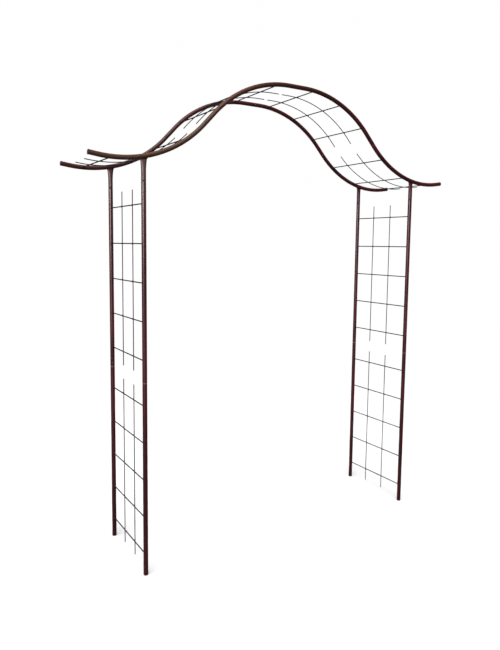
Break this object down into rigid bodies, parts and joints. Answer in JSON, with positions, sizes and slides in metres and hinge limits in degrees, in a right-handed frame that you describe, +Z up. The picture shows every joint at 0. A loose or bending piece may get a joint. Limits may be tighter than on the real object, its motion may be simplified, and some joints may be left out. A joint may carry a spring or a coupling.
{
  "type": "trellis arch",
  "caption": "Walk-through garden trellis arch of round steel tube, with a wave-shaped top, wire-grid sides and plug-in joints.",
  "frame": {"origin": "on the ground, centred under the arch", "axes": "+X across the walkway to the right, +Y along the walkway to the back, +Z up"},
  "size_m": [1.9456, 0.4248, 2.1353],
  "materials": {
    "post_tube": "semi-gloss brown powder coat, slightly streaked",
    "rail_tube": "semi-gloss brown powder coat, slightly streaked",
    "panel_rungs": "semi-gloss brown powder coat",
    "panel_wires": "semi-gloss brown powder coat",
    "joint_screws": "dark browned steel",
    "tip_caps": "satin moulded plastic"
  },
  "bodies": {
    "root": {"apex_screws": "joint_screws", "crown_rail_left_back": "rail_tube", "crown_rail_left_front": "rail_tube", "crown_rail_right_back": "rail_tube", "crown_rail_right_front": "rail_tube", "crown_rungs_left": "panel_rungs", "crown_rungs_right": "panel_rungs", "crown_wire_left_back": "panel_wires", "crown_wire_left_front": "panel_wires", "crown_wire_right_back": "panel_wires", "crown_wire_right_front": "panel_wires", "lower_post_left_back": "post_tube", "lower_post_left_front": "post_tube", "lower_post_right_back": "post_tube", "lower_post_right_front": "post_tube", "lower_side_rungs_left": "panel_rungs", "lower_side_rungs_right": "panel_rungs", "lower_side_wire_left_back": "panel_wires", "lower_side_wire_left_front": "panel_wires", "lower_side_wire_right_back": "panel_wires", "lower_side_wire_right_front": "panel_wires", "post_middle_screws": "joint_screws", "post_stub_left_back": "post_tube", "post_stub_left_front": "post_tube", "post_stub_right_back": "post_tube", "post_stub_right_front": "post_tube", "post_top_screws": "joint_screws", "slope_screws": "joint_screws", "tip_caps": "tip_caps", "upper_post_left_back": "post_tube", "upper_post_left_front": "post_tube", "upper_post_right_back": "post_tube", "upper_post_right_front": "post_tube", "upper_side_rungs_left": "panel_rungs", "upper_side_rungs_right": "panel_rungs", "upper_side_wire_left_back": "panel_wires", "upper_side_wire_left_front": "panel_wires", "upper_side_wire_right_back": "panel_wires", "upper_side_wire_right_front": "panel_wires", "wing_rail_left_back": "rail_tube", "wing_rail_left_front": "rail_tube", "wing_rail_right_back": "rail_tube", "wing_rail_right_front": "rail_tube", "wing_rungs_left": "panel_rungs", "wing_rungs_right": "panel_rungs", "wing_wire_left_back": "panel_wires", "wing_wire_left_front": "panel_wires", "wing_wire_right_back": "panel_wires", "wing_wire_right_front": "panel_wires"}
  },
  "joints": []
}
